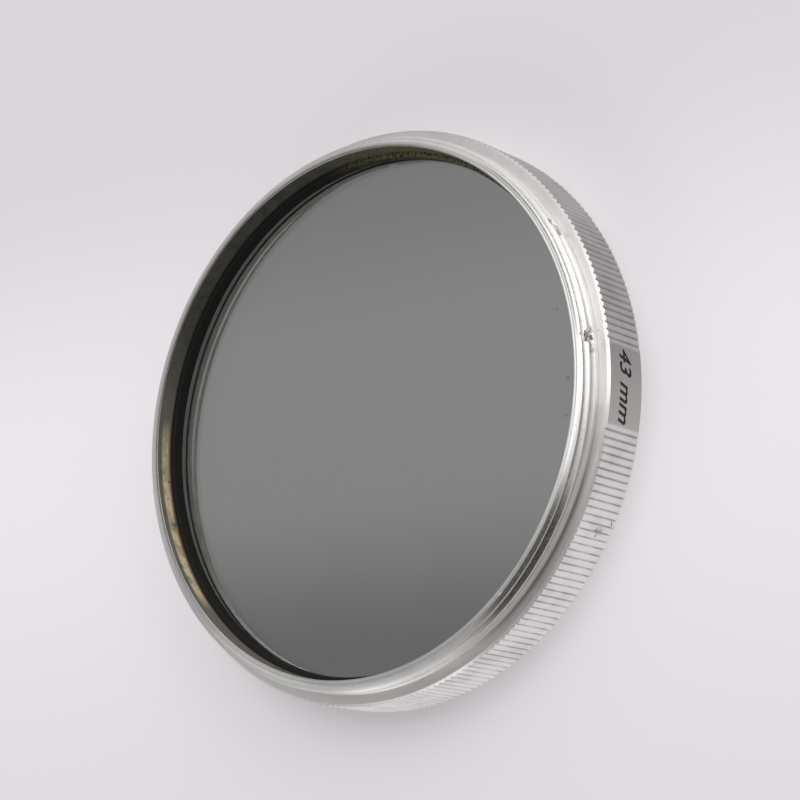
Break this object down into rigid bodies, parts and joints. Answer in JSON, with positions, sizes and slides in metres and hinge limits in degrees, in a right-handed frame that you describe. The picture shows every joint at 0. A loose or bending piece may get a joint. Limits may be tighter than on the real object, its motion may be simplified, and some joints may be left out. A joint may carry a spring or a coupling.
{
  "type": "neutral density filter",
  "caption": "Round screw-in grey filter: a thin glass disc in a knurled metal ring with a male thread behind and a female thread in front.",
  "frame": {"origin": "middle of the front face, on the filter's axis", "axes": "+Z along the filter's axis from the front face to the rear thread; the plain field of the grip faces -Y"},
  "size_m": [0.0448, 0.0448, 0.006],
  "materials": {
    "ring_metal": "satin turned metal, matt black paint on the inner wall behind the glass",
    "grey_glass": "polished neutral grey glass",
    "retainer_metal": "satin turned metal"
  },
  "bodies": {
    "root": {"filter_ring": "ring_metal", "nd_glass": "grey_glass", "retaining_ring": "retainer_metal"}
  },
  "joints": []
}
